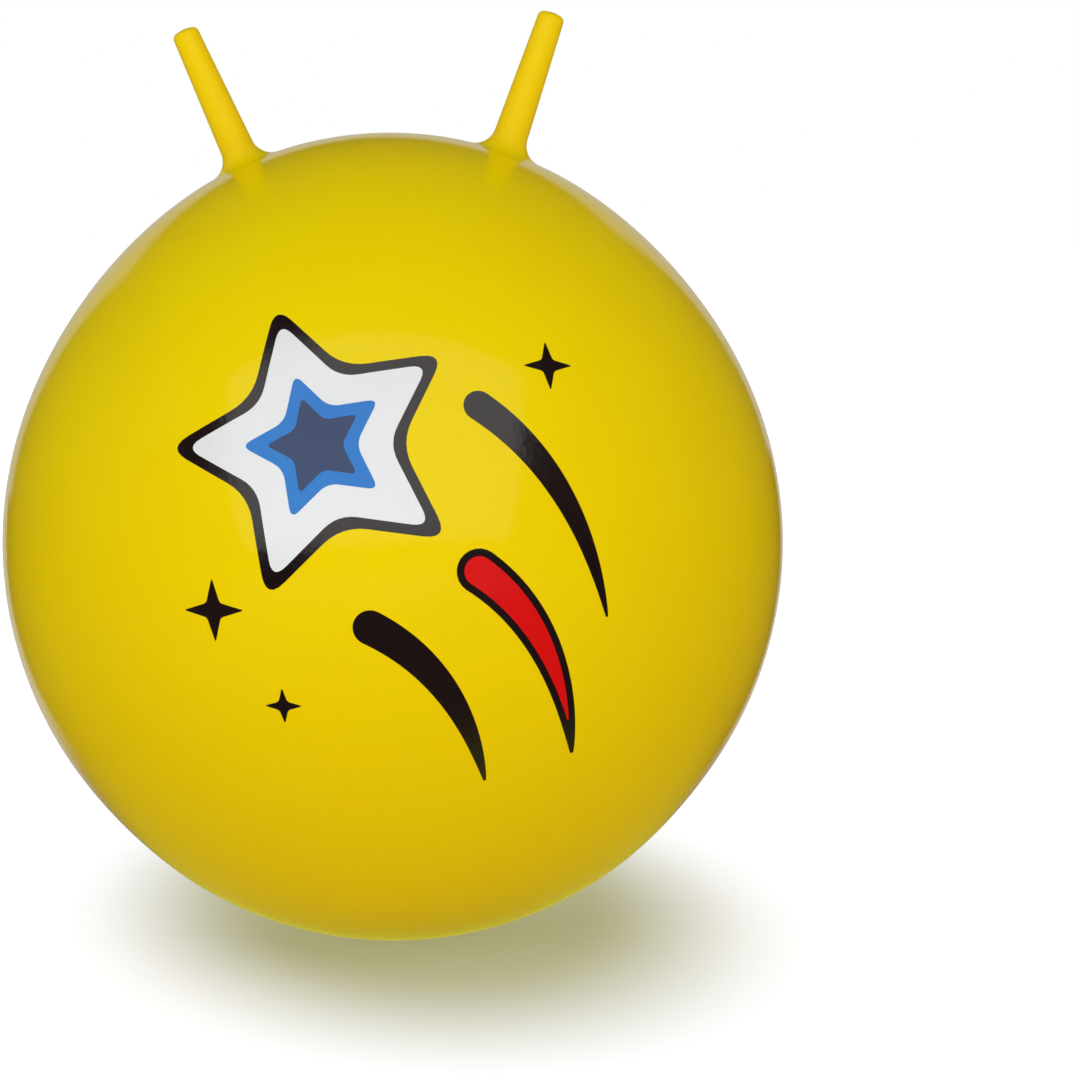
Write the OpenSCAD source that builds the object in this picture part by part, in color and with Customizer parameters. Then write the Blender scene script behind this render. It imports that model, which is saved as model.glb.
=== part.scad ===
// Hopper ball: an air-filled ball with two hollow horn handles and a push-in valve.
// The origin is the middle of the flat patch that the ball stands on, and +Z is up.
// The handles spread along X, the front faces -Y and the valve is low on the back.

/* [Ball] */
// Width of the ball across its equator
ball_width = 500; // [350:5:700]
// How much higher the top of the ball is than that of a round ball
crown_rise = 12.5; // [0:0.5:25]
// How much lower its base is than that of a round ball, before it settles flat
base_rise = 5.5; // [0:0.5:15]
// Angle above and below the equator where the round belt turns into the caps
shoulder_angle = 40; // [35:1:50]
// Thickness of the moulded skin
skin_wall = 1; // [0.8:0.1:2]
// Width of the flat patch that the ball stands on
base_patch_d = 60; // [50:1:90]

/* [Handles] */
// Lean of each handle away from the vertical
handle_lean = 21.5; // [15:0.5:28]
// Length of a handle from the skin to its tip
handle_length = 93.5; // [70:0.5:130]
// Width of a handle just above its flare
handle_root_d = 21.8; // [18:0.1:28]
// Width of a handle at its tip
handle_tip_d = 17.2; // [13:0.1:24]
// Wall of the hollow handle
handle_wall = 2.6; // [2:0.1:3.5]
// Thickness of the closed tip
tip_wall = 4; // [3:0.1:8]
// Rounding of the tip's edge
tip_round = 4; // [2:0.1:6]
// Rounding where a handle flares into the ball
flare_round = 9.5; // [6:0.5:14]
// Thickness of the flare's edge on the skin
flare_edge = 0.4; // [0.3:0.1:1]
// Straight band at the top of the flare
flare_rim = 0.6; // [0.4:0.1:2]

/* [Flexing neck] */
// Bore of the neck and the flare, which lets air into the handle
neck_bore_d = 12; // [8:0.5:14]
// How far the neck sits inside the handle's outer surface
neck_step = 1.2; // [0.8:0.1:2]
// Height of the neck's centre above the flare's rim
neck_rise = 3; // [2:0.25:5]
// Length of the neck ring along the handle
neck_length = 12; // [10:0.5:14]
// Running gap all round the neck
neck_gap = 0.3; // [0.2:0.05:0.5]
// Furthest bend of a handle forwards or backwards
bend_fore_aft = 20; // [5:1:25]
// Furthest bend of a handle sideways
bend_side = 15; // [5:1:20]
// Room left between grip and flare at the furthest bend
bend_room = 1; // [0.5:0.1:2]

/* [Valve] */
// Angle of the valve below the equator
valve_drop = 30; // [10:1:31]
// Width of the seat where it fills the hole in the skin
seat_neck_d = 22; // [20:0.5:30]
// Width of the seat's flange behind the skin
seat_flange_d = 34; // [32:0.5:46]
// Thickness of the flange
seat_flange_t = 4; // [3:0.25:6]
// Width of the boss that grips the plug
seat_boss_d = 14; // [13:0.5:18]
// Length of the boss behind the flange
seat_boss_length = 7; // [4:0.5:10]
// Bore that takes the plug
valve_bore_d = 8; // [6:0.25:9]
// Width of the plug's head
plug_head_d = 15; // [12:0.25:17]
// Thickness of the plug's head
plug_head_t = 1.6; // [1.2:0.1:2.5]
// Rounding of the head's edge
plug_head_round = 0.5; // [0.3:0.1:0.6]
// Length of the plug's stem
plug_stem_length = 20; // [16:0.5:28]
// Depth of the grooves between the stem's ribs
stem_groove_depth = 0.7; // [0.4:0.1:1]
// Width of each groove
stem_groove_w = 3; // [2:0.25:4]
// Number of grooves
stem_grooves = 3; // [1:1:3]
// Length of the stem's tapered nose
stem_nose = 3; // [2:0.5:5]
// Width of the thumbnail notch beside the head
nail_notch_d = 6; // [4:0.5:8]
// Depth of the thumbnail notch
nail_notch_depth = 1.2; // [0.8:0.1:1.6]
// Running gap between stem and bore, on the radius
stem_gap = 0.05; // [0.02:0.01:0.1]
// Gap round and under the head
head_gap = 0.1; // [0.1:0.05:0.3]
// How far the head lies below the skin's outer surface
head_sunk = 0.1; // [0:0.05:0.5]

/* [Hidden] */
$fn = 128;
// Steps round a full turn of the ball's own large arcs, which small pieces lie on
ball_fn = 960;

skin_yellow = "#E2CC08";
handle_yellow = "#EBCB06";
plug_white = "#F2F0E8";

// How far cuts run past what they cut
overrun = 1;

// The ball has a round belt about its middle and two slightly smaller round caps, the
// crown and the base, whose centres lie above and below it. A short cone joins each cap
// to the belt. It is all but tangent to both, tucked in by a hair so that it cuts each
// cleanly.
cone_tuck = 0.01;
ball_height = ball_width + crown_rise + base_rise;
belt_r = ball_width / 2;
crown_centre = crown_rise / (1 - sin(shoulder_angle));
crown_r = belt_r - crown_centre * sin(shoulder_angle);
base_centre = base_rise / (1 - sin(shoulder_angle));
base_r = belt_r - base_centre * sin(shoulder_angle);
ball_centre_z = base_centre + sqrt(pow(base_r, 2) - pow(base_patch_d / 2, 2));

// A handle's axis passes through the centre of the crown, so it stands square on
// the skin. Heights along it are counted from that centre.
root_r = handle_root_d / 2;
tip_r = handle_tip_d / 2;
neck_bore_r = neck_bore_d / 2;
neck_r = root_r - neck_step;
socket_r = neck_r + neck_gap;
flare_centre_r = root_r + flare_round;
flare_foot_h = crown_r + flare_edge;
flare_centre_h = sqrt(pow(flare_foot_h + flare_round, 2) - pow(flare_centre_r, 2));
flare_foot_share = flare_foot_h / (flare_foot_h + flare_round);
flare_top_h = flare_centre_h + flare_rim;
neck_h = flare_top_h + neck_rise;
bend_most = acos(cos(bend_fore_aft) * cos(bend_side));
grip_rise = (root_r * sin(bend_most) + bend_room - neck_rise) / cos(bend_most);
grip_start_h = neck_h + grip_rise;
tip_h = crown_r + handle_length;

// The valve's axis passes through the centre of the belt, so it stands square on the
// skin too. Heights along it are counted from that centre.
seat_neck_r = seat_neck_d / 2;
head_recess_r = plug_head_d / 2 + head_gap;
head_top_h = belt_r - head_sunk;
head_under_h = head_top_h - plug_head_t;
recess_floor_h = head_under_h - head_gap;
flange_under_h = belt_r - skin_wall - seat_flange_t;
boss_end_h = flange_under_h - seat_boss_length;
stem_r = valve_bore_d / 2 - stem_gap;
stem_end_h = head_under_h - plug_stem_length;
rib_pitch = (plug_stem_length - stem_nose) / (stem_grooves + 0.5);

// Places a shape on the axis of the left (-1) or right (1) handle
module on_handle_axis(side)
    translate([0, 0, ball_centre_z + crown_centre])
        rotate([0, side * handle_lean, 0])
            children();

// Places a shape on the valve's axis
module on_valve_axis()
    translate([0, 0, ball_centre_z])
        rotate([-90 - valve_drop, 0, 0])
            children();

// Half outline of the ball at a depth below its outer surface, about its centre
module ball_outline(depth) {
    belt_end_x = (belt_r - depth) * cos(shoulder_angle) - cone_tuck;
    belt_end_z = (belt_r - depth) * sin(shoulder_angle);
    crown_start_x = (crown_r - depth) * cos(shoulder_angle) - cone_tuck;
    crown_start_z = crown_centre + (crown_r - depth) * sin(shoulder_angle);
    base_start_x = (base_r - depth) * cos(shoulder_angle) - cone_tuck;
    base_start_z = base_centre + (base_r - depth) * sin(shoulder_angle);
    intersection() {
        union() {
            circle(r = belt_r - depth, $fn = ball_fn);
            translate([0, crown_centre])
                circle(r = crown_r - depth, $fn = ball_fn);
            translate([0, -base_centre])
                circle(r = base_r - depth, $fn = ball_fn);
            polygon([
                [-overrun, -base_start_z],
                [base_start_x, -base_start_z],
                [belt_end_x, -belt_end_z],
                [belt_end_x, belt_end_z],
                [crown_start_x, crown_start_z],
                [-overrun, crown_start_z]
            ]);
        }
        translate([0, depth - ball_centre_z])
            square([ball_width, ball_height]);
    }
}

// The thin moulded skin, open under each handle and at the valve
module ball_skin()
    color(skin_yellow)
        difference() {
            translate([0, 0, ball_centre_z])
                rotate_extrude()
                    difference() {
                        ball_outline(0);
                        ball_outline(skin_wall);
                    }
            for (side = [-1, 1])
                on_handle_axis(side)
                    translate([0, 0, crown_r - skin_wall - overrun])
                        cylinder(r = neck_bore_r, h = skin_wall + 2 * overrun);
            on_valve_axis()
                translate([0, 0, belt_r - skin_wall - overrun])
                    cylinder(r = seat_neck_r, h = skin_wall + 2 * overrun);
        }

// The flared root: a ring on the skin with a round socket for the neck
module handle_root(side)
    color(handle_yellow)
        on_handle_axis(side)
            rotate_extrude()
                difference() {
                    polygon([
                        [neck_bore_r, crown_r - overrun],
                        [flare_centre_r * flare_foot_share, crown_r - overrun],
                        [flare_centre_r * flare_foot_share, flare_centre_h * flare_foot_share],
                        [flare_centre_r, flare_centre_h],
                        [root_r, flare_centre_h],
                        [root_r, flare_top_h],
                        [neck_bore_r, flare_top_h]
                    ]);
                    circle(r = crown_r, $fn = ball_fn);
                    translate([flare_centre_r, flare_centre_h])
                        circle(r = flare_round);
                    translate([0, neck_h])
                        circle(r = socket_r);
                }

// The neck: a short ring with a round outside, on which the handle bends
module handle_neck(side)
    color(handle_yellow)
        on_handle_axis(side)
            rotate_extrude()
                intersection() {
                    translate([0, neck_h])
                        circle(r = neck_r);
                    translate([neck_bore_r, neck_h - neck_length / 2])
                        square([neck_r, neck_length]);
                }

// Outline of the tapered grip, closed and rounded at its tip
module grip_outline(inset, end_h) {
    start_r = root_r - inset;
    end_r = tip_r - inset;
    round_r = max(tip_round - inset, flare_edge);
    polygon([
        [0, grip_start_h],
        [start_r, grip_start_h],
        [end_r, end_h - round_r],
        [0, end_h - round_r]
    ]);
    translate([end_r - round_r, end_h - round_r])
        circle(r = round_r);
    translate([0, end_h - round_r])
        square([end_r - round_r, round_r]);
}

// The grip: a tapered hollow tube that sits over the neck
module handle_grip(side)
    color(handle_yellow)
        on_handle_axis(side)
            rotate_extrude()
                intersection() {
                    difference() {
                        grip_outline(0, tip_h);
                        grip_outline(handle_wall, tip_h - tip_wall);
                        translate([0, neck_h])
                            circle(r = socket_r);
                    }
                    translate([0, grip_start_h])
                        square([root_r, handle_length]);
                }

module left_handle_root() handle_root(-1);
module left_handle_neck() handle_neck(-1);
module left_handle_grip() handle_grip(-1);
module right_handle_root() handle_root(1);
module right_handle_neck() handle_neck(1);
module right_handle_grip() handle_grip(1);

// The moulded-in seat: flush with the skin outside, with a flange and a boss inside
module valve_seat()
    color(skin_yellow)
        on_valve_axis()
            difference() {
                rotate_extrude()
                    difference() {
                        union() {
                            intersection() {
                                circle(r = belt_r, $fn = ball_fn);
                                translate([0, flange_under_h])
                                    square([seat_neck_r, belt_r - flange_under_h]);
                            }
                            intersection() {
                                circle(r = belt_r - skin_wall, $fn = ball_fn);
                                translate([0, flange_under_h])
                                    square([seat_flange_d / 2, belt_r - flange_under_h]);
                            }
                            translate([0, boss_end_h])
                                square([seat_boss_d / 2, seat_boss_length]);
                        }
                        translate([0, boss_end_h - overrun])
                            square([valve_bore_d / 2, belt_r - boss_end_h + 2 * overrun]);
                        translate([0, recess_floor_h])
                            square([head_recess_r, belt_r - recess_floor_h + overrun]);
                    }
                translate([head_recess_r, 0, belt_r - nail_notch_depth])
                    cylinder(d = nail_notch_d, h = nail_notch_depth + overrun);
            }

// The push-in plug: a thin head with a rounded edge and a grooved stem
module valve_plug()
    color(plug_white)
        on_valve_axis()
            rotate_extrude()
                difference() {
                    union() {
                        translate([0, head_under_h])
                            square([plug_head_d / 2, plug_head_t - plug_head_round]);
                        translate([0, head_under_h])
                            square([plug_head_d / 2 - plug_head_round, plug_head_t]);
                        translate([plug_head_d / 2 - plug_head_round, head_top_h - plug_head_round])
                            circle(r = plug_head_round);
                        polygon([
                            [0, stem_end_h],
                            [stem_r - stem_groove_depth, stem_end_h],
                            [stem_r, stem_end_h + stem_nose],
                            [stem_r, head_under_h],
                            [0, head_under_h]
                        ]);
                    }
                    for (i = [0 : stem_grooves - 1])
                        translate([
                            stem_r - stem_groove_depth,
                            stem_end_h + stem_nose + (i + 0.5) * rib_pitch
                        ])
                            square([stem_groove_depth + overrun, stem_groove_w]);
                }

ball_skin();
left_handle_root();
left_handle_neck();
left_handle_grip();
right_handle_root();
right_handle_neck();
right_handle_grip();
valve_seat();
valve_plug();
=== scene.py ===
# %% [markdown]
# # A hopper ball, dressed for its picture
#
# A hopper ball is one hollow moulding of soft yellow vinyl: a ball to sit on, two horns to
# hold, and a small valve low on the back. The exact solids of the part are already packed
# as a fixed frame. This file loads that frame and builds the surfaces that the eye sees
# around it: the stretched skin, the bending horns, the valve and the printed front.
#
# Everything is in metres. The ball stands on z = 0, its printed front faces -Y, and the
# horns spread along X.

# %% Load the frame
import math
from bisect import bisect
import bmesh
import bpy
from mathutils import Matrix, Vector
from mathutils.geometry import delaunay_2d_cdt


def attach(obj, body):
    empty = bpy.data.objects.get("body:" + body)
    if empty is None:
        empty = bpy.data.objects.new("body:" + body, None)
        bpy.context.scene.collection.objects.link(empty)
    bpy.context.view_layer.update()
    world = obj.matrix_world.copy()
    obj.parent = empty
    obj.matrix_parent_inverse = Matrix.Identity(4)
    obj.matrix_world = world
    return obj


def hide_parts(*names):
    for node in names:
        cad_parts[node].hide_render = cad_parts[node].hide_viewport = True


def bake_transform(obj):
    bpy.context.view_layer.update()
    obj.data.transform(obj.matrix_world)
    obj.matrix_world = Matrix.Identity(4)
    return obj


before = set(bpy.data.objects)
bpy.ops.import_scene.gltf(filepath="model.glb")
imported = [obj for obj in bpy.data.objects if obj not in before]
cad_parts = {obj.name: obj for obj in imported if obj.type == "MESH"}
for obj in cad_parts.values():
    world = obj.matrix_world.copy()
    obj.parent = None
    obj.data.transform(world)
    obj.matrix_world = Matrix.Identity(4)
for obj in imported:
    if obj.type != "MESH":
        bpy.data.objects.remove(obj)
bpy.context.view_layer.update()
MM = 0.001

# %% [markdown]
# ## The outline of the blown-up ball
#
# Air pressure wants to make a ball round, but the real one is a little taller than it is
# wide, and taller above its widest line than below it. Its outline is a wide round belt
# and two slightly smaller round caps, the crown and the base. Between them the curve
# flattens and rounds again without a jump, because a jump in the curve of a glossy skin
# shows as a kink in every reflection. One function gives the distance from the ball's
# middle to its skin in any direction. The skin, the printing and the mould line all ask
# it, so they can't drift apart. A sphere stretched by hand would be simpler, but nothing
# printed on it would then lie where it should.

# %% Measures of the skin
belt_r = 250 * MM
belt_end = math.radians(40)
patch_r = 30 * MM
skin_wall = 1 * MM


def cap_measures(rise):
    """How far a cap's centre lies from the belt's, and the cap's radius."""
    shift = rise / (1 - math.sin(belt_end))
    return shift, belt_r - shift * math.sin(belt_end)


def easing_rows(shift, radius, first, last, steps=400):
    """Rows of latitude, reach and slope from the belt's end to the cap's start.

    The curve is walked in small steps of its slope. Its own radius turns from the belt's
    to the cap's, and two bumps are added that are just strong enough to land on the cap.
    """
    step = (last - first) / steps
    slopes = [first + step * (i + 0.5) for i in range(steps)]
    radii = []
    for i in range(steps):
        share = (i + 0.5) / steps
        bump = (share * (1 - share)) ** 2
        turned = belt_r + (radius - belt_r) * share ** 2 * (3 - 2 * share)
        radii.append((turned, bump, bump * share))
    inward = [step * sum(r[k] * math.sin(s) for r, s in zip(radii, slopes)) for k in range(3)]
    upward = [step * sum(r[k] * math.cos(s) for r, s in zip(radii, slopes)) for k in range(3)]
    need_in = belt_r * math.cos(first) - radius * math.cos(last) - inward[0]
    need_up = shift + radius * math.sin(last) - belt_r * math.sin(first) - upward[0]
    bumps = Matrix((inward[1:], upward[1:])).inverted() @ Vector((need_in, need_up))
    out, up = belt_r * math.cos(first), belt_r * math.sin(first)
    rows = [(first, belt_r, first)]
    for (turned, bump, late_bump), slope in zip(radii, slopes):
        length = (turned + bumps[0] * bump + bumps[1] * late_bump) * step
        out -= length * math.sin(slope)
        up += length * math.cos(slope)
        rows.append((math.atan2(up, out), math.hypot(up, out), slope + step / 2))
    return rows


crown_up, crown_r = cap_measures(12.5 * MM)
base_down, base_r = cap_measures(5.5 * MM)
crown_easing = easing_rows(crown_up, crown_r, math.radians(10), math.radians(61))
base_easing = easing_rows(base_down, base_r, math.radians(33), math.radians(60))
middle = Vector((0, 0, base_down + math.sqrt(base_r ** 2 - patch_r ** 2)))
crown = middle + Vector((0, 0, crown_up))


def half_outline(way):
    """The cap's shift, its radius and the easing rows of the half that way points to."""
    if way.z > 0:
        return crown_up, crown_r, crown_easing
    return base_down, base_r, base_easing


def easing_at(rows, latitude):
    """Reach and slope at a latitude, between its two nearest rows."""
    after = min(max(bisect(rows, (latitude,)), 1), len(rows) - 1)
    low, high = rows[after - 1], rows[after]
    share = (latitude - low[0]) / (high[0] - low[0])
    return low[1] + (high[1] - low[1]) * share, low[2] + (high[2] - low[2]) * share


def skin_distance(way):
    """Distance from the ball's middle to its skin along the unit vector way."""
    height = abs(way.z)
    latitude = math.asin(min(height, 1))
    shift, radius, easing = half_outline(way)
    if latitude < easing[0][0]:
        reach = belt_r
    elif latitude < easing[-1][0]:
        reach = easing_at(easing, latitude)[0]
    else:
        across = shift ** 2 * (1 - height ** 2)
        reach = shift * height + math.sqrt(radius ** 2 - across)
    if way.z < 0:
        reach = min(reach, middle.z / height)
    return reach


def on_skin(way, proud=0.0):
    """The point of the skin in that direction, raised by proud."""
    return middle + way * (skin_distance(way) + proud)


def skin_normal(way):
    """The direction straight out of the skin, which is not quite the way to it."""
    latitude = math.asin(max(-1, min(way.z, 1)))
    up = 1 if way.z > 0 else -1
    shift, _, easing = half_outline(way)
    if abs(latitude) < easing[0][0]:
        return way.copy()
    if abs(latitude) < easing[-1][0]:
        slope = easing_at(easing, abs(latitude))[1]
        level = Vector((way.x, way.y, 0)).normalized()
        return level * math.cos(slope) + Vector((0, 0, up * math.sin(slope)))
    return (way * skin_distance(way) - Vector((0, 0, up * shift))).normalized()


print("middle of the ball at z =", round(middle.z, 5))

# %% [markdown]
# ## Turning a profile
#
# The horns, the valve's surround and the stopper are all round about an axis. Each could
# be a lathe (Screw) modifier, but a small function that joins rings of points gives
# control over every ring: rings crowd together where an edge is rounded and spread out
# where the surface is plain. A point on the axis becomes the single tip of a fan. The
# profile runs all the way round the wall of the piece, so that each mesh is a closed body
# with a real thickness.

# %% Make a turned piece
def make_piece(name, points, faces, sharp_angle=35):
    """A mesh object with smooth faces, and hard edges only past sharp_angle degrees."""
    mesh = bpy.data.meshes.new(name)
    mesh.from_pydata([tuple(p) for p in points], [], faces)
    shape = bmesh.new()
    shape.from_mesh(mesh)
    bmesh.ops.recalc_face_normals(shape, faces=shape.faces)
    for edge in shape.edges:
        edge.smooth = edge.calc_face_angle(0) < math.radians(sharp_angle)
    for face in shape.faces:
        face.smooth = True
    shape.to_mesh(mesh)
    shape.free()
    piece = bpy.data.objects.new(name, mesh)
    bpy.context.scene.collection.objects.link(piece)
    return piece


def ring_faces(rings, closed):
    """Quads between rings of point numbers, and triangles where a ring is one point."""
    faces = []
    pairs = list(zip(rings, rings[1:]))
    if closed:
        pairs.append((rings[-1], rings[0]))
    for low, high in pairs:
        count = max(len(low), len(high))
        for i in range(count):
            j = (i + 1) % count
            corners = [low[i % len(low)], low[j % len(low)]]
            corners += [high[j % len(high)], high[i % len(high)]]
            faces.append(list(dict.fromkeys(corners)))
    return faces


def ring_points(origin, axis, side, radius, height, steps):
    """Points of a ring about an axis, starting on the given side of it."""
    across = axis.cross(side).normalized()
    turns = [2 * math.pi * i / steps for i in range(steps)]
    spokes = [side * math.cos(turn) + across * math.sin(turn) for turn in turns]
    return [origin + axis * height + spoke * radius for spoke in spokes]


def add_ring(points, ring):
    """Adds a ring to the points and gives its point numbers."""
    points += ring
    return list(range(len(points) - len(ring), len(points)))


def turn_piece(name, profile, origin, axis, side, steps, closed, sharp_angle=35):
    """Turns (radius, height) points about an axis through origin."""
    points = []
    rings = []
    for radius, height in profile:
        count = steps if radius > 0 else 1
        rings.append(add_ring(points, ring_points(origin, axis, side, radius, height, count)))
    return make_piece(name, points, ring_faces(rings, closed), sharp_angle)


def arc(centre_r, centre_h, radius, start, end, count):
    """Points of a profile along an arc, angles in degrees from outwards to upwards."""
    turns = [math.radians(start + (end - start) * i / count) for i in range(count + 1)]
    return [(centre_r + radius * math.cos(t), centre_h + radius * math.sin(t)) for t in turns]


# %% [markdown]
# ## Where the horns and the valve stand
#
# The skin has three round openings: one under each horn and one for the valve. Their
# places and sizes come first, because the net of the skin is woven round them. A horn
# stands square on the crown, so its axis starts at the crown's own centre. The valve
# stands square on the belt, so its axis starts at the middle of the ball.

# %% Measures of a horn
lean = math.radians(21.5)
horn_length = 93.5 * MM
hinge_up = 12.6219 * MM
root_r = 10.9 * MM
tip_r = 8.6 * MM
bore_r = 6 * MM
horn_wall = 2.6 * MM
flare_r = 13.5 * MM
tip_edge_r = 4.2 * MM
tip_dome = 0.6 * MM
foot_r = 26 * MM
foot_steps = 72
warm_from = -1 * MM
warm_span = 9 * MM
flare_out = root_r + flare_r
flare_up = math.sqrt((crown_r + flare_r) ** 2 - flare_out ** 2) - crown_r
taper_end = horn_length - tip_dome - tip_edge_r
front_side = Vector((0, -1, 0))


def horn_axis(side):
    """Unit vector along a horn, -1 for the left one and 1 for the right."""
    return Vector((side * math.sin(lean), 0, math.cos(lean)))


def horn_root(side):
    """The point where a horn's axis leaves the skin."""
    return crown + horn_axis(side) * crown_r


def horn_r(up):
    """Outer radius of the horn at a height above the skin, its flare included."""
    if up < flare_up:
        return flare_out - math.sqrt(flare_r ** 2 - (flare_up - up) ** 2)
    return root_r + (tip_r - root_r) * (up - flare_up) / (taper_end - flare_up)


def skin_up(radius, depth=0.0):
    """Height of the skin there, counted from where the axis leaves it."""
    return math.sqrt((crown_r - depth) ** 2 - radius ** 2) - crown_r


def horn_ring(side, radius, up, steps):
    """A ring about a horn's axis, up above the point where the axis leaves the skin."""
    return ring_points(crown, horn_axis(side), front_side, radius, crown_r + up, steps)


print("flare ends", round(flare_up / MM, 2), "mm above the skin")


# %% Measures of the valve's hole
valve_below = math.radians(30)
valve_axis = Vector((0, math.cos(valve_below), -math.sin(valve_below)))
across_x = Vector((1, 0, 0))
valve_hole_r = 12.2 * MM
valve_lip = 0.8 * MM
valve_steps = 96


def face_up(radius, proud=0.0):
    """Height of the belt's skin beside the valve's axis, from the ball's middle."""
    return math.sqrt((belt_r + proud) ** 2 - radius ** 2)


print("openings:", foot_r * 2, "m under a horn,", round(valve_hole_r * 2, 4), "m at the valve")

# %% [markdown]
# ## The skin of the ball
#
# The real skin is about a millimetre of vinyl, thin and even. A sphere of rings and
# spokes would be the usual mesh, but it can only have a clean round hole at its two
# poles, and this ball has three holes. So points are spread over it as evenly as the
# seeds of a sunflower, rings of points are added round each opening, and the net between
# them is found flat: seen from the bottom pole, the ball unrolls to a plane on which the
# best triangles stay the best. An inner net one wall deeper closes the body, and every
# corner is told the true direction of the skin, so that reflections run smoothly.


# %% Net of the skin
outer_seeds = 15000
inner_seeds = 2600
horn_clear = 44 * MM
valve_clear = 38 * MM
base_clear = 40 * MM


def seeds(count):
    """Unit vectors spread evenly over a sphere."""
    golden = math.pi * (3 - math.sqrt(5))
    ways = []
    for i in range(count):
        high = 1 - 2 * (i + 0.5) / count
        level = math.sqrt(1 - high ** 2)
        ways.append(Vector((level * math.cos(golden * i), level * math.sin(golden * i), high)))
    return ways


def way_to(point):
    """Unit vector from the ball's middle to a point."""
    return (point - middle).normalized()


def openings(wall):
    """For each opening: its rings from the rim outwards, and the way to its centre."""
    made = []
    horn_rings = [(26, foot_steps), (28.8, 56), (33, 44), (39, 36)]
    for side in (-1, 1):
        rings = []
        for radius, steps in horn_rings:
            rings.append(horn_ring(side, radius * MM, skin_up(radius * MM), steps))
        made.append((rings, way_to(horn_root(side)), horn_clear))
    rim = valve_hole_r - (valve_lip if wall > 0 else 0)
    rings = []
    valve_rings = [(0, valve_steps), (1.2, 72), (3.3, 54), (6.8, 44), (12.8, 36), (20.8, 32)]
    for out, steps in valve_rings:
        radius = rim + out * MM
        rings.append(ring_points(middle, valve_axis, across_x, radius, face_up(radius), steps))
    made.append((rings, valve_axis, valve_clear))
    rings = []
    for radius, steps in ((6, 8), (14, 18), (22, 28), (30, 40), (35, 40)):
        level = [Vector((radius * MM * math.cos(t), radius * MM * math.sin(t), 0))
                 for t in [2 * math.pi * i / steps for i in range(steps)]]
        rings.append([on_skin(way_to(p)) for p in level])
    made.append((rings, Vector((0, 0, -1)), base_clear))
    return made


def skin_net(count, wall):
    """Points, triangles and rim rings of the skin, wall below its outer surface."""
    ways = []
    rims = []
    keep_off = []
    for rings, centre, clear in openings(wall):
        numbers = [add_ring(ways, [way_to(p) for p in ring]) for ring in rings]
        rims.append(numbers[0])
        keep_off.append((centre, math.cos(clear / belt_r)))
    for way in seeds(count):
        if all(way.dot(centre) < limit for centre, limit in keep_off):
            ways.append(way)
    flat = [Vector((w.x / (1 + w.z), w.y / (1 + w.z))) for w in ways]
    edges = [(rim[i - 1], rim[i]) for rim in rims[:3] for i in range(len(rim))]
    _, _, triangles, origins, _, _ = delaunay_2d_cdt(flat, edges, [], 0, 1e-9)
    first = [sources[0] for sources in origins]
    inside_rim = [set(rim) for rim in rims]
    faces = []
    for triangle in triangles:
        face = [first[i] for i in triangle]
        if not any(all(i in rim for i in face) for rim in inside_rim):
            faces.append(face)
    faces.append(rims[3])
    points = [on_skin(way, -wall) for way in ways]
    return ways, points, faces, rims[:3]


# %% Ball shell
def build_ball_shell():
    """The closed skin: an outer net, an inner net and the walls of its openings."""
    ways, points, faces, rims = skin_net(outer_seeds, 0)
    outer_count = len(points)
    _, inner_points, inner_faces, inner_rims = skin_net(inner_seeds, skin_wall)
    points += inner_points
    faces += [[i + outer_count for i in face] for face in inner_faces]
    inner_rims = [[i + outer_count for i in rim] for rim in inner_rims]
    for outer, inner in list(zip(rims, inner_rims))[:2]:
        faces += ring_faces([outer, inner], False)
    rings = [rims[2]]
    for inward, depth in ((0.45, 0.0), (0.75, 0.05), (0.93, 0.16), (1.0, 0.36), (1.0, 0.7)):
        radius = valve_hole_r - inward * MM
        height = face_up(radius) - depth * MM
        ring = ring_points(middle, valve_axis, across_x, radius, height, valve_steps)
        rings.append(add_ring(points, ring))
    rings.append(inner_rims[2])
    faces += ring_faces(rings, False)
    shell = make_piece("ball_shell", points, faces, 50)
    set_skin_normals(shell, ways, outer_count)
    return shell


def set_skin_normals(shell, ways, count):
    """Gives the corners of the outer net the skin's own normals."""
    mesh = shell.data
    normals = [corner.vector.copy() for corner in mesh.corner_normals]
    for face in mesh.polygons:
        if all(i < count for i in face.vertices):
            flat = all(mesh.vertices[i].co.z < 0.00001 for i in face.vertices)
            for corner in face.loop_indices:
                way = ways[mesh.loops[corner].vertex_index]
                normals[corner] = Vector((0, 0, -1)) if flat else skin_normal(way)
    mesh.normals_split_custom_set(normals)


ball_shell = build_ball_shell()
print("ball shell faces:", len(ball_shell.data.polygons))

# %% [markdown]
# ## The horns
#
# Each horn grows out of the skin in a small concave flare, whose foot takes in a round of
# the skin so that no edge shows where the flare begins. It runs up as a slowly tapering
# hollow tube and ends blunt, with a rounded edge and a slightly domed tip. It bends at its
# root in two directions. So it is made of two closed tubes that meet end to end at the
# height of the hinge: the foot runs from the ball to the neck, and the tube above it runs
# from the neck to the grip.

# %% Horn foot and horn tube
def foot_profile():
    """Closed profile of the flared foot, from its apron on the skin to the hinge ring."""
    land = math.degrees(math.atan2(-(flare_up + crown_r), -flare_out)) + 360
    outer = [(foot_r, skin_up(foot_r)), (25 * MM, skin_up(25 * MM))]
    outer += arc(flare_out, flare_up, flare_r, land, 180, 22)
    outer.append((horn_r(hinge_up), hinge_up))
    inner = [(bore_r, hinge_up), (bore_r, hinge_up / 2), (bore_r, skin_up(bore_r, skin_wall))]
    under = [(r * MM, skin_up(r * MM, skin_wall)) for r in (12, 18, 22)]
    return outer + inner + under + [(foot_r, skin_up(foot_r, skin_wall))]


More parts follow.
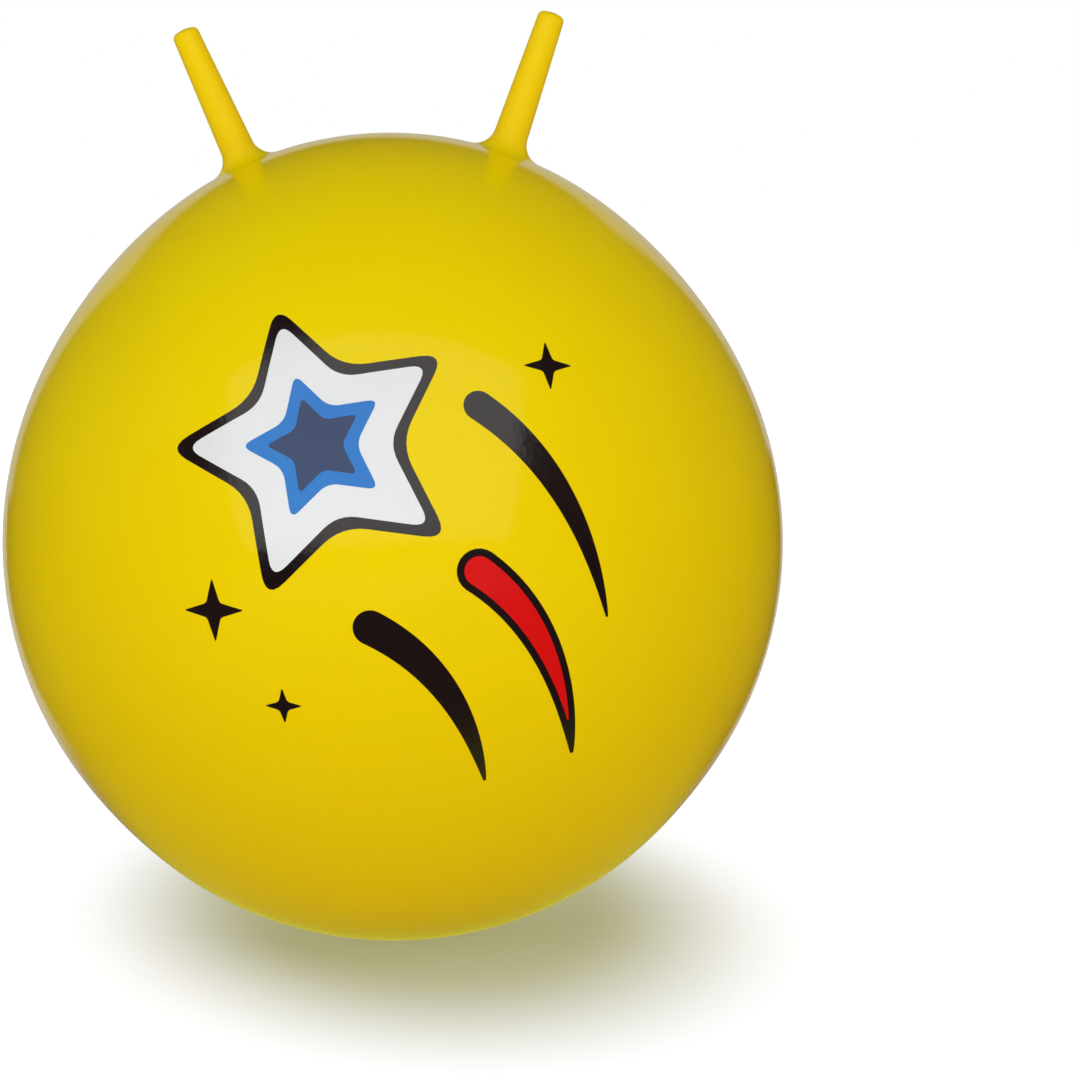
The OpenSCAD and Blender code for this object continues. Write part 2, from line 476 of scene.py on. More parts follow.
def tube_profile():
    """Open profile from the middle of the tip down outside, and up inside to the axis."""
    dome_r = tip_r - tip_edge_r
    outer = [(0, horn_length)]
    outer += [(dome_r * s, horn_length - tip_dome * s ** 2) for s in (0.25, 0.5, 0.75)]
    outer += arc(dome_r, taper_end, tip_edge_r, 83, 0, 9)
    rings = 44
    for i in range(1, rings + 1):
        up = taper_end + (hinge_up - taper_end) * i / rings
        outer.append((horn_r(up), up))
    top = horn_length - 4 * MM
    inner = [(bore_r, hinge_up), (horn_r(18 * MM) - horn_wall, 18 * MM)]
    inner += [(horn_r(up * MM) - horn_wall, up * MM) for up in (28, 40, 55, 70)]
    inner += [(tip_r - horn_wall, top - 2 * MM), (tip_r - horn_wall - 2 * MM, top), (0, top)]
    return outer + inner


def build_horn(side_name, side):
    """The foot and the tube of the horn on that side, -1 left and 1 right."""
    axis = horn_axis(side)
    origin = horn_root(side)
    pieces = []
    for part, profile, closed in (("foot", foot_profile(), True), ("tube", tube_profile(), False)):
        name = side_name + "_horn_" + part
        piece = turn_piece(name, profile, origin, axis, front_side, foot_steps, closed, 60)
        warm = piece.data.attributes.new("horn_warmth", "FLOAT", "POINT")
        for i, vertex in enumerate(piece.data.vertices):
            up = (vertex.co - origin).dot(axis)
            warm.data[i].value = min(max((up - warm_from) / warm_span, 0), 1)
        pieces.append(piece)
    return pieces


horns = {"left": build_horn("left", -1), "right": build_horn("right", 1)}
print("horn points:", [len(piece.data.vertices) for pair in horns.values() for piece in pair])

# %% [markdown]
# ## The valve
#
# The valve is a thick disc that is moulded into the skin, with a boss behind it that grips
# the stopper. Its face has two fine raised rings and a scoop for a thumbnail beside the
# stopper's head. The scoop could be cut with a boolean, but pressing the points of a dense
# mesh down gives the soft edge that moulded vinyl has. The stopper is firmer and whiter:
# a low domed head, and a stem with ribs that hold it in the bore.


# %% Valve surround
def surround_profile():
    """Closed profile of the disc, its recess and its boss, measured in millimetres."""
    floor = 248.2
    back = 245
    boss_end = 238
    raised = {8.6: 0.12, 8.8: 0.2, 9.0: 0.12, 9.7: 0.12, 9.9: 0.2, 10.1: 0.12}
    radii = [tenth / 10 for tenth in range(106, 78, -1)]
    face = [(r * MM, face_up(r * MM, raised.get(r, 0) * MM)) for r in radii]
    edge_drops = [(11, 0.75), (11, 0.35), (10.9, 0.12), (10.75, 0.02)]
    lip_drops = [(7.75, 0.03), (7.64, 0.14), (7.6, 0.32)]
    back_drops = [(11.3, 1), (11, 0.95)]
    edge, lip, behind = [
        [(r * MM, face_up(r * MM) - drop * MM) for r, drop in drops]
        for drops in (edge_drops, lip_drops, back_drops)
    ]
    inner = [(7.6, floor + 0.2), (7.4, floor), (4.3, floor), (4, floor - 0.3)]
    inner += [(4, boss_end + 0.3), (4.3, boss_end), (6.7, boss_end), (7, boss_end + 0.3)]
    inner += [(7, back - 0.6), (7.6, back), (16.6, back), (17, back + 0.4), (17, 248.38)]
    return edge + face + lip + [(r * MM, h * MM) for r, h in inner] + behind


def press_scoop(piece):
    """Presses the thumbnail scoop into the face, on the side towards the floor."""
    scoop_r = 3.2 * MM
    scoop_depth = 1.1 * MM
    face_depth = 1.3 * MM
    down = valve_axis.cross(across_x).normalized()
    scoop = middle + valve_axis * belt_r + down * 8.6 * MM
    for vertex in piece.data.vertices:
        high = (vertex.co - middle).dot(valve_axis)
        away = (vertex.co - scoop).length / scoop_r
        if high > belt_r - face_depth and away < 1:
            vertex.co -= valve_axis * (scoop_depth * (1 - away ** 2) ** 2)


valve_surround = turn_piece(
    "valve_surround", surround_profile(), middle, valve_axis, across_x, 120, True)
press_scoop(valve_surround)
print("valve surround faces:", len(valve_surround.data.polygons))


# %% Valve stopper
def stopper_profile():
    """Open profile of the stopper, from the middle of its head to the tip of its nose."""
    top = 249.9
    under = top - 1.6
    nose = under - 20
    stem_r = 3.95
    first_rib = 2.05
    rib_pitch = 4.86
    head = [(0, -0.35), (1.2, -0.35), (1.7, -0.28), (2.2, -0.05)]
    head += [(2.6, 0), (4.5, -0.02), (6.2, -0.06)]
    rib = [(stem_r, 0), (3.85, -0.15), (3.3, -0.45), (3.25, -0.8)]
    rib += [(3.25, -2.4), (3.4, -2.75), (3.9, -3.0), (stem_r, -3.15)]
    profile = [(r, top + h) for r, h in head] + arc(7, top - 0.58, 0.5, 85, 0, 6)
    profile += [(7.5, under + 0.3), (7.3, under), (4.3, under), (stem_r, under - 0.3)]
    for i in range(3):
        start = under - first_rib - rib_pitch * i
        profile += [(r, start + h) for r, h in rib]
    profile += [(stem_r, nose + 3), (3.5, nose + 0.6), (3.1, nose), (0, nose)]
    return [(r * MM, h * MM) for r, h in profile]


valve_stopper = turn_piece(
    "valve_stopper", stopper_profile(), middle, valve_axis, across_x, 72, False)
print("valve stopper points:", len(valve_stopper.data.vertices))

# %% [markdown]
# ## The mould line
#
# The two halves of the mould meet in the plane of the horns and leave a hair-fine raised
# line round the ball. It could be a bump in the material, but a low real bead catches the
# light from the side as the real one does. It is a closed strip a millimetre wide and
# less than a tenth of a millimetre proud, half sunk in the skin. It runs over the top
# from horn to horn and round underneath, and dips under the skin where a horn stands and
# where the ball rests on its flat patch.

# %% Mould line
def build_mould_line():
    """The bead, as points across the line and out of the skin in millimetres."""
    bead = [(-0.6, -0.2), (-0.45, 0.01), (-0.2, 0.06), (0, 0.07)]
    bead += [(-across, proud) for across, proud in bead[2::-1]]
    steps = 720
    horn_reach = 27 * MM
    hidden = 0.5
    least_height = 0.2 * MM
    points = []
    rings = []
    for i in range(steps):
        turn = 2 * math.pi * i / steps
        way = Vector((math.sin(turn), 0, math.cos(turn)))
        horn_near = min((on_skin(way) - horn_root(side)).length for side in (-1, 1))
        sink = hidden if horn_near < horn_reach else 0
        ring = [on_skin(way, (proud - sink) * MM) + Vector((0, across * MM, 0))
                for across, proud in bead]
        for point in ring:
            point.z = max(point.z, least_height)
        rings.append(add_ring(points, ring))
    return make_piece("mould_line", points, ring_faces(rings, True), 50)


mould_line = build_mould_line()
print("mould line faces:", len(mould_line.data.polygons))

# %% [markdown]
# ## The printed front
#
# The front carries a print in black, white, blue and red: a big star inside a star that
# shoots up and away, with three curved streaks and a few sparkles behind it. Such a print
# could be painted in the ball's material, but ink is a thing of its own: it lies on the
# skin in layers, one colour after another, with its own gloss. So each colour is a thin
# film with a top, an underside and an edge. Its outline is drawn flat in millimetres,
# filled with a fine net of triangles and wrapped round the ball without stretching the
# distances from the middle of the front.

# %% Wrap a film of ink round the front
film_step = 5.5
film_sink = 0.15
row_share = 0.866


def wrap(u, v, proud):
    """The point that lies u mm right and v mm up of the front's middle, along the skin."""
    reach = math.hypot(u, v)
    angle = reach * MM / belt_r
    turn = math.atan2(v, u)
    level = math.sin(angle)
    way = Vector((level * math.cos(turn), -math.cos(angle), level * math.sin(turn)))
    return on_skin(way, proud * MM)


def inside(point, outline):
    """True where the point lies inside the closed outline."""
    x, y = point
    odd = False
    for (ax, ay), (bx, by) in zip(outline, outline[1:] + outline[:1]):
        if (ay > y) != (by > y) and x < ax + (y - ay) * (bx - ax) / (by - ay):
            odd = not odd
    return odd


def ink_film(name, outline, proud):
    """A closed film over the outline, proud mm above the skin, sunk a little into it."""
    corners = [Vector(p) for p in outline]
    count = len(corners)
    us = [p[0] for p in outline]
    vs = [p[1] for p in outline]
    row = 0
    v = min(vs) + film_step / 2
    while v < max(vs):
        u = min(us) + film_step / 2 * (1 + row % 2)
        while u < max(us):
            near = min(math.hypot(u - a, v - b) for a, b in outline)
            if near > film_step * 0.55 and inside((u, v), outline):
                corners.append(Vector((u, v)))
            u += film_step
        v += film_step * row_share
        row += 1
    rim = [(i, (i + 1) % count) for i in range(count)]
    flat, _, triangles, origins, _, _ = delaunay_2d_cdt(corners, rim, [], 0, 1e-6)
    kept = []
    for triangle in triangles:
        centre = sum((flat[i] for i in triangle), Vector((0, 0))) / 3
        if inside((centre.x, centre.y), outline):
            kept.append(list(triangle))
    number = {origin: i for i, sources in enumerate(origins) for origin in sources}
    points = [wrap(p.x, p.y, proud) for p in flat]
    points += [wrap(p.x, p.y, -film_sink) for p in flat]
    size = len(flat)
    faces = kept + [[i + size for i in reversed(t)] for t in kept]
    for a, b in rim:
        i = number[a]
        j = number[b]
        faces.append([i, j, j + size, i + size])
    return make_piece(name, points, faces, 40)


# %% [markdown]
# The outlines are drawn by two small helpers. A star is a ring of corners with a round
# added at each, as a pen would leave it. A streak is a curved centre line with a width
# that swells and dies away, closed by a round head and a fine tail.


# %% Outlines of stars and streaks
def curve(start, bend, end, t):
    """The point at share t of the curve from start to end that leans towards bend."""
    return start * (1 - t) ** 2 + bend * 2 * t * (1 - t) + end * t ** 2


def rounded(corners, radius, count=6):
    """The closed outline with each corner replaced by a short curve."""
    outline = []
    size = len(corners)
    for i in range(size):
        here = Vector(corners[i])
        before = Vector(corners[i - 1]) - here
        after = Vector(corners[(i + 1) % size]) - here
        reach = min(radius, before.length * 0.45, after.length * 0.45)
        start = here + before.normalized() * reach
        end = here + after.normalized() * reach
        for k in range(count + 1):
            outline.append(tuple(curve(start, here, end, k / count)))
    return spaced(outline, 4.0)


def spaced(outline, step):
    """The same outline with extra points where two are further apart than step."""
    result = []
    for (ax, ay), (bx, by) in zip(outline, outline[1:] + outline[:1]):
        pieces = max(1, math.ceil(math.hypot(bx - ax, by - ay) / step))
        for k in range(pieces):
            result.append((ax + (bx - ax) * k / pieces, ay + (by - ay) * k / pieces))
    return result


def star(centre, outer, inner, points, tilt, radius):
    """A star's outline, with its first point tilt degrees from straight up."""
    corners = []
    for i in range(2 * points):
        reach = inner if i % 2 else outer
        turn = math.radians(90 + tilt + 180 * i / points)
        corners.append((centre[0] + reach * math.cos(turn), centre[1] + reach * math.sin(turn)))
    return rounded(corners, radius)


def streak(start, bend, end, head, inset=0.0):
    """A tapering streak along a curve, from its round head at start to its tail at end."""
    left = []
    right = []
    thinnest = 0.15
    a, b, c = Vector(start), Vector(bend), Vector(end)
    count = 48
    for k in range(count + 1):
        t = k / count
        point = curve(a, b, c, t)
        along = ((b - a) * (1 - t) + (c - b) * t).normalized()
        side = Vector((-along.y, along.x))
        half = head / 2 * (1 - t) ** 0.75 * (1 + 0.5 * t) - inset
        if half > thinnest:
            left.append(point + side * half)
            right.append(point - side * half)
    back = (a - b).normalized()
    half = head / 2 - inset
    cap = []
    for k in range(1, 12):
        turn = math.pi * (k / 12 - 0.5)
        cap.append(a + (back * math.cos(turn) + Vector((-back.y, back.x)) * math.sin(turn)) * half)
    outline = [(p.x, p.y) for p in left[::-1] + cap + right]
    return spaced(outline, 4.0)


# %% Print the front
star_centre = (-36, 84)
middle_streak = ((58, 4), (108, -34), (116, -126))
print_films = [
    ink_film("print_star_black", star(star_centre, 98, 51, 5, 16, 16), 0.10),
    ink_film("print_star_white", star(star_centre, 85, 44, 5, 16, 12), 0.16),
    ink_film("print_star_blue", star(star_centre, 47, 24.5, 5, 16, 7), 0.22),
    ink_film("print_star_navy", star(star_centre, 31, 16, 5, 16, 4), 0.28),
    ink_film("print_streak_upper", streak((64, 104), (124, 60), (140, -36), 19), 0.10),
    ink_film("print_streak_middle", streak(*middle_streak, 27), 0.10),
    ink_film("print_streak_red", streak(*middle_streak, 27, 4.5), 0.16),
    ink_film("print_streak_lower", streak((-8, -26), (46, -56), (58, -136), 21), 0.10),
]
sparkles = [(112, 130, 17), (-104, -14, 20), (-64, -74, 12)]
for i, (u, v, size) in enumerate(sparkles):
    outline = star((u, v), size, size * 0.32, 4, 0, 2)
    print_films.append(ink_film("print_sparkle_%d" % (i + 1), outline, 0.10))
print("ink films:", [(film.name, len(film.data.polygons)) for film in print_films])

# %% [markdown]
# ## Finishes
#
# Soft vinyl is smooth and glossy, but never perfect: the colour is a little deeper where
# the wall is thicker, the surface has a faint skin like orange peel, and handling leaves
# dull clouds and fine scuffs in the gloss. The same effects show on the ball, the horns,
# the valve and even the ink. So they are built once as a node group with named inputs,
# which each material places with values of its own. The shader itself stays in the
# material, because that is where an exporter looks for it.

# %% Node helpers
def add_node(tree, kind, values=None, **settings):
    """Adds a node with its settings, and fills its sockets with values or other sockets."""
    node = tree.nodes.new(kind)
    for key, setting in settings.items():
        setattr(node, key, setting)
    for name, value in (values or {}).items():
        if isinstance(value, bpy.types.NodeSocket):
            tree.links.new(value, node.inputs[name])
        else:
            node.inputs[name].default_value = value
    return node


def maths(tree, operation, *values):
    """The result of a maths node on numbers or sockets."""
    return add_node(tree, "ShaderNodeMath", dict(enumerate(values)), operation=operation).outputs[0]


def mix_colour(tree, factor, first, second, blend="MIX"):
    """The colour between first and second at factor."""
    values = {0: factor, 6: first, 7: second}
    return add_node(tree, "ShaderNodeMix", values, data_type="RGBA", blend_type=blend).outputs[2]


def grey(level):
    """A colour with the same level in each channel."""
    return (level, level, level, 1)


def remap(tree, value, low, high, new_low, new_high):
    """The value moved smoothly from one range to another."""
    values = {"Value": value, "From Min": low, "From Max": high}
    values |= {"To Min": new_low, "To Max": new_high}
    node = add_node(tree, "ShaderNodeMapRange", values, interpolation_type="SMOOTHSTEP")
    return node.outputs["Result"]


def noise(tree, place, scale, detail=3, roughness=0.5):
    """A soft noise about a place, with its scale in lumps per metre."""
    values = {"Vector": place, "Scale": scale, "Detail": detail, "Roughness": roughness}
    return add_node(tree, "ShaderNodeTexNoise", values).outputs["Fac"]


# %% Moulded surface group
def moulded_surface_group():
    """The node group, which gives a colour, a roughness and a height."""
    group = bpy.data.node_groups.new("moulded_surface", "ShaderNodeTree")
    inputs = ("Colour", "Deep Colour", "Clouding", "Gloss Roughness", "Scuffing", "Peel Size")
    outputs = ("Colour", "Roughness", "Height")
    for in_out, names in (("INPUT", inputs), ("OUTPUT", outputs)):
        for name in names:
            kind = "NodeSocketColor" if "Colour" in name else "NodeSocketFloat"
            group.interface.new_socket(name=name, in_out=in_out, socket_type=kind)
    given = group.nodes.new("NodeGroupInput").outputs
    made = group.nodes.new("NodeGroupOutput")
    place = add_node(group, "ShaderNodeTexCoord").outputs["Object"]

    clouds = remap(group, noise(group, place, 9, 4, 0.55), 0.35, 0.7, 0, 1)
    cloud_share = maths(group, "MULTIPLY", clouds, given["Clouding"])
    colour = mix_colour(group, cloud_share, given["Colour"], given["Deep Colour"])

    values = {"Vector": place, "Scale": (1, 1, 7), "Rotation": (0.4, 0.9, 0.2)}
    stretched = add_node(group, "ShaderNodeMapping", values).outputs[0]
    scratch = remap(group, noise(group, stretched, 130, 2, 0.6), 0.62, 0.72, 0, 1)
    haze = remap(group, noise(group, place, 24, 5, 0.65), 0.42, 0.75, 0, 1)
    worn = maths(group, "MULTIPLY", maths(group, "ADD", haze, scratch), given["Scuffing"])
    most_wear = 0.16
    rough = maths(group, "MULTIPLY_ADD", worn, most_wear, given["Gloss Roughness"])

    peel = noise(group, place, given["Peel Size"], 2)
    for name, value in (("Colour", colour), ("Roughness", rough), ("Height", peel)):
        group.links.new(value, made.inputs[name])
    return group


moulded_surface = moulded_surface_group()
print("group nodes:", len(moulded_surface.nodes))


# %% [markdown]
# ## The materials
#
# All the soft parts share one recipe: a glossy dielectric shader fed by the moulded
# surface group, with a very fine bump. The ball has a lemon yellow and the thicker horns a
# warmer one. On a real moulding the two run into each other at the flare, so the horn's
# material turns from one to the other with a number that is stored on the horn's points.


# %% Material recipe
def linear(red, green, blue):
    """A colour given as it looks on a screen, 0 to 255, in the shader's own scale."""
    shares = [channel / 255 for channel in (red, green, blue)]
    levels = [s / 12.92 if s <= 0.04045 else ((s + 0.055) / 1.055) ** 2.4 for s in shares]
    return (*levels, 1)


def moulded_material(name, colour, deep, values, gloss, bump_depth):
    """A glossy moulded finish, with its bump depth in metres."""
    material = bpy.data.materials.new(name)
    material.use_nodes = True
    tree = material.node_tree
    shader = tree.nodes["Principled BSDF"]
    values = {"Colour": colour, "Deep Colour": deep, **values}
    surface = add_node(tree, "ShaderNodeGroup", values, node_tree=moulded_surface)
    tree.links.new(surface.outputs["Colour"], shader.inputs["Base Color"])
    tree.links.new(surface.outputs["Roughness"], shader.inputs["Roughness"])
    relief = {"Height": surface.outputs["Height"], "Strength": 0.25, "Distance": bump_depth}
    bump = add_node(tree, "ShaderNodeBump", relief)
    tree.links.new(bump.outputs["Normal"], shader.inputs["Normal"])
    shader.inputs["Specular IOR Level"].default_value = gloss
    return material


def surface_values(clouding, roughness, scuffing, peel_size):
    """Inputs of the moulded surface group, apart from its colours."""
    return {
        "Clouding": clouding,
        "Gloss Roughness": roughness,
        "Scuffing": scuffing,
        "Peel Size": peel_size,
    }


ball_yellow = linear(234, 208, 0)
# painted shade: the more orange yellow that the lower ball is painted with
ball_painted_shade_yellow = linear(234, 199, 0)
ball_deep = linear(230, 198, 0)
horn_yellow = linear(243, 207, 0)
horn_deep = linear(238, 200, 0)
plug_white = linear(240, 238, 229)
plug_deep = linear(226, 221, 204)
vinyl_values = surface_values(0.35, 0.10, 0.3, 170)
horn_values = surface_values(0.35, 0.30, 0.5, 260)
plug_values = surface_values(0.5, 0.22, 0.6, 500)
ink_values = surface_values(0.4, 0.14, 0.5, 240)
ball_vinyl = moulded_material("ball_vinyl", ball_yellow, ball_deep, vinyl_values, 0.2, 0.3 * MM)
horn_vinyl = moulded_material("horn_vinyl", horn_yellow, horn_deep, horn_values, 0.12, 0.3 * MM)
plug_vinyl = moulded_material("plug_vinyl", plug_white, plug_deep, plug_values, 0.5, 0.2 * MM)
ink_looks = {
    "black": ((24, 10, 9), (34, 20, 18), 0.8),
    "white": ((226, 227, 228), (216, 218, 218), 0.6),
    "blue": ((14, 116, 196), (8, 104, 186), 0.6),
    "navy": ((36, 58, 98), (30, 50, 88), 0.6),
    "red": ((216, 4, 2), (204, 2, 2), 0.6),
}
inks = {}
for ink, (colour, deep, gloss) in ink_looks.items():
    name = "ink_" + ink
    inks[ink] = moulded_material(name, linear(*colour), linear(*deep), ink_values, gloss, 0.4 * MM)


def warm_towards_tip(material):
    """Lets the horn's colour and gloss start as the ball's own where the flare begins."""
    tree = material.node_tree
    shader = tree.nodes["Principled BSDF"]
    surface = next(node for node in tree.nodes if node.type == "GROUP")
    warmth = add_node(tree, "ShaderNodeAttribute", attribute_name="horn_warmth").outputs["Fac"]
    blended = mix_colour(tree, warmth, ball_yellow, surface.outputs["Colour"])
    tree.links.new(blended, shader.inputs["Base Color"])
    ends = [values["Gloss Roughness"] for values in (vinyl_values, horn_values)]
    roughness = remap(tree, warmth, 0, 1, *ends)
    tree.links.new(roughness, surface.inputs["Gloss Roughness"])


def paint_warm_shade_towards_base(material):
    """Paints the ball's yellow more orange towards its base, as painted shade on the lower ball."""
    tree = material.node_tree
    place = add_node(tree, "ShaderNodeTexCoord").outputs["Object"]
    height = add_node(tree, "ShaderNodeSeparateXYZ", {"Vector": place}).outputs["Z"]
    share = remap(tree, height, 0.06, 0.46, 0, 1)
    yellow = mix_colour(tree, share, ball_painted_shade_yellow, ball_yellow)
    surface = next(node for node in tree.nodes if node.type == "GROUP")
    tree.links.new(yellow, surface.inputs["Colour"])


warm_towards_tip(horn_vinyl)
paint_warm_shade_towards_base(ball_vinyl)
print("materials:", len(bpy.data.materials))

# %% [markdown]
# ## Putting the pieces on their bodies
#
# Each piece now gets its finish. Everything but the horns rides on one body; the horn's foot
# and tube get no body here, and their places are baked into their points. The solids of the
# frame that these pieces stand for are hidden, and stay in the physics model for contact.

# %% Dress and fasten the pieces
def fasten(piece, material, body=None, stands_for=()):
    """Gives a piece its material, its body and the solids that it replaces."""
    piece.data.materials.append(material)
    if body:
        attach(piece, body)
    if stands_for:
        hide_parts(*stands_for)


fasten(ball_shell, ball_vinyl, "ball", ["ball_skin"])
fasten(mould_line, ball_vinyl, "ball")
fasten(valve_surround, ball_vinyl, "ball", ["valve_seat"])
fasten(valve_stopper, plug_vinyl, "plug", ["valve_plug"])
for film in print_films:
    ink = film.name.split("_")[-1]
    fasten(film, inks.get(ink, inks["black"]), "ball")
for side_name, (foot, tube) in horns.items():
    handle = side_name + "_handle_"
    fasten(foot, horn_vinyl, None, [handle + "root", handle + "neck"])
    fasten(tube, horn_vinyl, None, [handle + "grip"])
    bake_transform(foot)
    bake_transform(tube)
pieces = [ball_shell, mould_line, valve_surround, valve_stopper, *print_films]
pieces += [piece for pair in horns.values() for piece in pair]
print("pieces:", len(pieces))

# %% [markdown]
# ## The studio
#
# The picture is a product shot on white. The floor and the world each have three guises,
# picked by the kind of ray. To the camera the world is white, and so is the floor, with the
# ball's soft sage shade on it as a turned oval. To the light they are plain grey paper, and
# the floor glows a little where the ball stands. In reflections they are dark, with the
# ball's own yellow on the floor near it. Only a pale sheet stands behind the ball, partly
# on the floor and partly in the world, and it draws the thin bright rim along the upper
# edge. One white room would be simpler, but its light would wash the gloss out.

# %% Floor
shade_middle = (0.003, 0.094, 0)
shade_reach = (0.185, 0.445, 1)
shade_turn = 0.153
shade_fade = (0.53, 1.33)
far_fade = (1.2, 3.0)
shade_seen = (0.316, 0.322, 0.169, 1)
paper_seen = (0.88, 0.885, 0.90, 1)
no_glow = grey(0)
glow_cast = (0.153, 0.17, 0.085, 1)
cast_fade = (0.05, 0.13)
glow_mirrored = (0.60, 0.60, 0.06, 1)
mirrored_fade = (0.08, 0.45)
sheet_level = 0.50
sheet_fade = (0.1, 0.6)
sheet_sides = (((1, 0.41, 0), -0.32), ((-1, 0.29, 0), -0.22))
sheet_blur = 0.02


def build_floor():
    """A wide floor whose look depends on the kind of ray that meets it."""
    half = 12.0
    points = [(-half, -half, 0), (half, -half, 0), (half, half, 0), (-half, half, 0)]
    floor = make_piece("studio_floor", points, [[0, 1, 2, 3]])
    material = bpy.data.materials.new("studio_floor")
    material.use_nodes = True
    tree = material.node_tree
    tree.nodes.remove(tree.nodes["Principled BSDF"])
    path = add_node(tree, "ShaderNodeLightPath")
    camera_ray = path.outputs["Is Camera Ray"]
    glossy_ray = path.outputs["Is Glossy Ray"]
    place = add_node(tree, "ShaderNodeTexCoord").outputs["Object"]

    values = {"Vector": place, "Location": shade_middle, "Scale": shade_reach}
    values["Rotation"] = (0, 0, shade_turn)
    oval = add_node(tree, "ShaderNodeMapping", values, vector_type="TEXTURE").outputs["Vector"]
    away = add_node(tree, "ShaderNodeVectorMath", {0: oval}, operation="LENGTH").outputs["Value"]
    seen = mix_colour(tree, remap(tree, away, *shade_fade, 0, 1), shade_seen, paper_seen)
    seen = mix_colour(tree, remap(tree, away, *far_fade, 0, 1), seen, grey(1))

    near = add_node(tree, "ShaderNodeVectorMath", {0: place}, operation="LENGTH").outputs["Value"]
    cast = mix_colour(tree, remap(tree, near, *cast_fade, 1, 0), no_glow, glow_cast)
    mirrored = mix_colour(tree, remap(tree, near, *mirrored_fade, 1, 0), no_glow, glow_mirrored)
    behind = add_node(tree, "ShaderNodeSeparateXYZ", {"Vector": place}).outputs["Y"]
    pale = remap(tree, behind, *sheet_fade, 0, sheet_level)
    for across, limit in sheet_sides:
        values = {0: place, 1: across}
        reach = add_node(tree, "ShaderNodeVectorMath", values, operation="DOT_PRODUCT")
        edge = remap(tree, reach.outputs["Value"], limit - sheet_blur, limit + sheet_blur, 0, 1)
        pale = maths(tree, "MULTIPLY", pale, edge)
    mirrored = mix_colour(tree, 1.0, mirrored, pale, "ADD")

    paper = mix_colour(tree, glossy_ray, grey(0.88), grey(0.05))
    paper = mix_colour(tree, camera_ray, paper, grey(0.2))
    glow = mix_colour(tree, glossy_ray, cast, mirrored)
    glow = mix_colour(tree, camera_ray, glow, seen)
    sheet = add_node(tree, "ShaderNodeBsdfDiffuse", {"Color": paper})
    light = add_node(tree, "ShaderNodeEmission", {"Color": glow, "Strength": 1.0})
    both = add_node(tree, "ShaderNodeAddShader", {0: sheet.outputs[0], 1: light.outputs[0]})
    tree.links.new(both.outputs[0], tree.nodes["Material Output"].inputs["Surface"])
    floor.data.materials.append(material)
    return floor


studio_floor = build_floor()
print("floor:", studio_floor.name)

# %% World
room_level = 0.41
dark_level = 0.04
sheet_middle = {"X": -0.053, "Z": 0.05}
sheet_half_width = 0.38
sheet_half_height = 0.26
corner_pull = 0.2
edge_blur = 0.03


def build_world():
    """White to the camera, grey to light, and a pale sheet in the dark to reflections."""
    world = bpy.data.worlds.new("studio_world")
    bpy.context.scene.world = world
    world.use_nodes = True
    tree = world.node_tree
    background = tree.nodes["Background"]
    way = add_node(tree, "ShaderNodeTexCoord").outputs["Generated"]
    parts = add_node(tree, "ShaderNodeSeparateXYZ", {"Vector": way})
    sheet = remap(tree, parts.outputs["Y"], 0.0, 0.1, 0.0, sheet_level)
    wide, high = [
        maths(tree, "ABSOLUTE", maths(tree, "SUBTRACT", parts.outputs[name], centre))
        for name, centre in sheet_middle.items()
    ]
    for span, other, half in ((wide, high, sheet_half_width), (high, wide, sheet_half_height)):
        drawn = maths(tree, "MULTIPLY_ADD", other, -corner_pull, span)
        edge = remap(tree, drawn, half - edge_blur, half + edge_blur, 1.0, 0.0)
        sheet = maths(tree, "MULTIPLY", sheet, edge)
    sheet = maths(tree, "MAXIMUM", sheet, dark_level)
    path = add_node(tree, "ShaderNodeLightPath")
    unseen = mix_colour(tree, path.outputs["Is Glossy Ray"], grey(room_level), sheet)
    seen = mix_colour(tree, path.outputs["Is Camera Ray"], unseen, grey(1))
    tree.links.new(seen, background.inputs["Color"])
    background.inputs["Strength"].default_value = 1
    return world


studio_world = build_world()
print("world:", studio_world.name)


# %% [markdown]
# Six soft lamps light the ball at a plain level, at which a colour shows about as it is
# written. The very large front lamp is the only one that shows in the gloss. The side
# lamps fill the flanks, warmer on the right as in the photograph, the low one lifts the
# underside, and the two behind keep the back as bright as the front.


# %% Lamps
def soft_lamp(name, bearing, height, away, size, level, tint=(1, 1, 1), glossy=True):
    """A rectangular lamp that faces the ball, level being its brightness where 1 is white."""
    data = bpy.data.lights.new(name, "AREA")
    data.shape = "RECTANGLE"
    data.size, data.size_y = size
    data.energy = level * math.pi * size[0] * size[1]
    data.color = tint
    lamp = bpy.data.objects.new(name, data)
    bpy.context.scene.collection.objects.link(lamp)
    turn = math.radians(bearing)
    lamp.location = (away * math.sin(turn), -away * math.cos(turn), height)
    aim = Vector((0, 0, min(height, middle.z)))
    lamp.rotation_mode = "QUATERNION"
    lamp.rotation_quaternion = (aim - lamp.location).to_track_quat("-Z", "Y")
    lamp.visible_camera = False
    lamp.visible_glossy = glossy
    return lamp


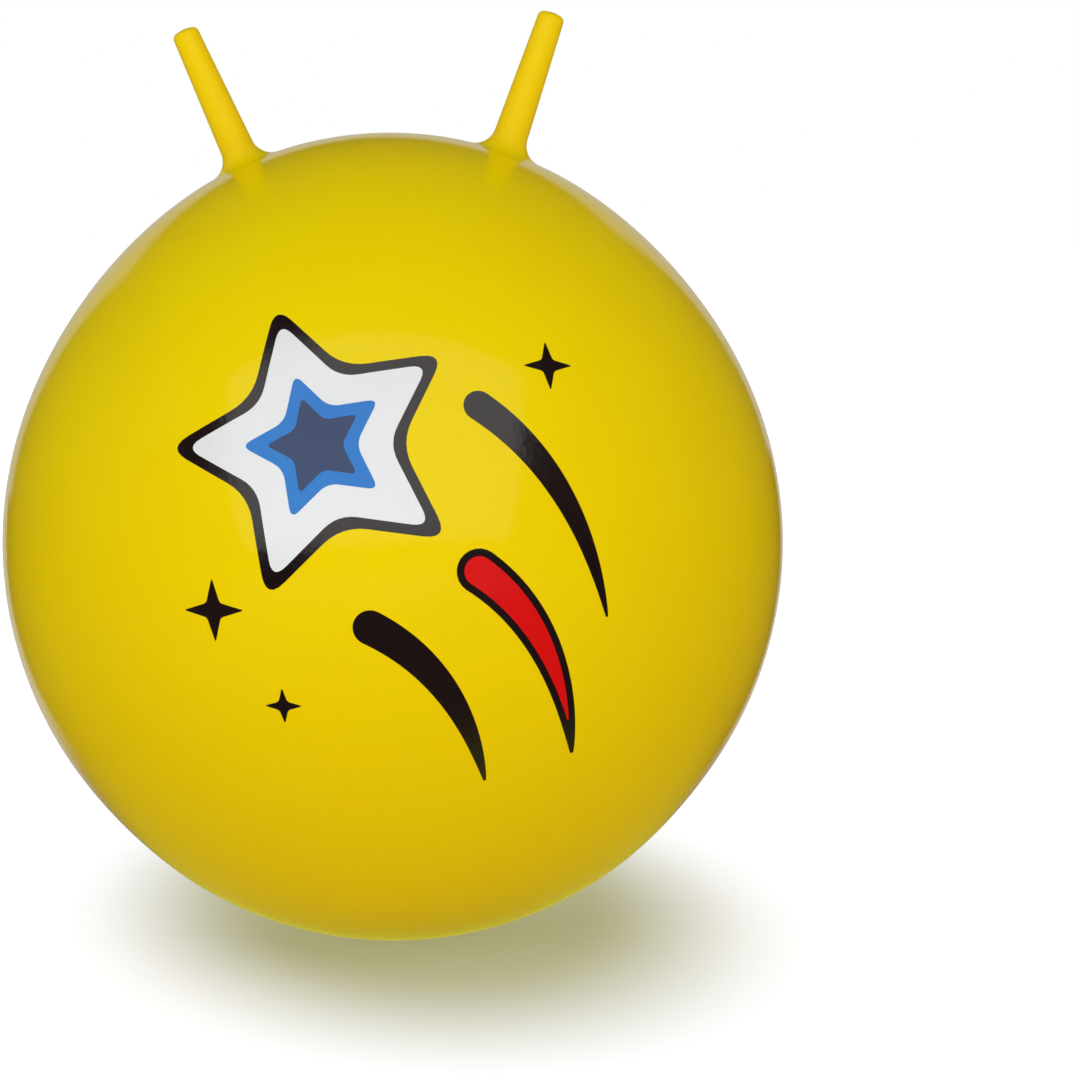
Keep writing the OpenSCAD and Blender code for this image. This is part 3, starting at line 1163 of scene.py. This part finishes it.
warm = (1.0, 0.62, 0.42)
soft_lamp("front_lamp", -3, 1.186, 1.426, (2.8, 1.8), 0.96)
soft_lamp("left_lamp", -90, 0.91, 1.785, (1.4, 1.2), 0.52, glossy=False)
soft_lamp("right_lamp", 90, 0.91, 1.785, (1.4, 1.2), 0.59, warm, glossy=False)
soft_lamp("low_lamp", 0, 0.11, 1.6, (2.6, 0.2), 3.6, glossy=False)
soft_lamp("back_lamp", 180, 1.816, 1.556, (2.5, 1.2), 0.33, glossy=False)
soft_lamp("rear_lamp", 180, 0.60, 1.7, (0.8, 1.0), 3.2, glossy=False)

# %% [markdown]
# ## The camera
#
# The photograph was taken from some metres away with a long lens, almost level with the
# middle of the ball, which sits left of the frame's middle. The ball has rolled a little
# to its left, so the camera is rolled instead, because the frame stands still. The lens
# follows from the ball's measured width in the 1080 by 1076 frame, and the camera is
# moved sideways and not shifted, so that other views stay centred.

# %% Camera
ball_seen_r = 390.0
ball_seen_at = (393.9, 542.3)
frame_middle = (540.0, 538.0)
camera_up = math.radians(5.5)
camera_roll = math.radians(2.65)
camera_away = 2.8
lens_px = ball_seen_r * math.sqrt(camera_away ** 2 - belt_r ** 2) / belt_r

data = bpy.data.cameras.new("product_camera")
data.sensor_width = 36
data.lens = lens_px / 1080 * data.sensor_width
data.clip_start = 0.05
data.clip_end = 100
camera = bpy.data.objects.new("product_camera", data)
bpy.context.scene.collection.objects.link(camera)
bpy.context.scene.camera = camera
forward = Vector((0, math.cos(camera_up), -math.sin(camera_up)))
level_up = Vector((0, math.sin(camera_up), math.cos(camera_up)))
right = across_x * math.cos(camera_roll) - level_up * math.sin(camera_roll)
upward = across_x * math.sin(camera_roll) + level_up * math.cos(camera_roll)
beside = (ball_seen_at[0] - frame_middle[0]) * camera_away / lens_px
above = (frame_middle[1] - ball_seen_at[1]) * camera_away / lens_px
place = middle - forward * camera_away - right * beside - upward * above
axes = Matrix((right, upward, -forward)).transposed().to_4x4()
camera.matrix_world = Matrix.Translation(place) @ axes
print("lens:", round(data.lens, 1), "mm")

# %% Picture settings
bpy.context.scene.view_settings.view_transform = "Standard"
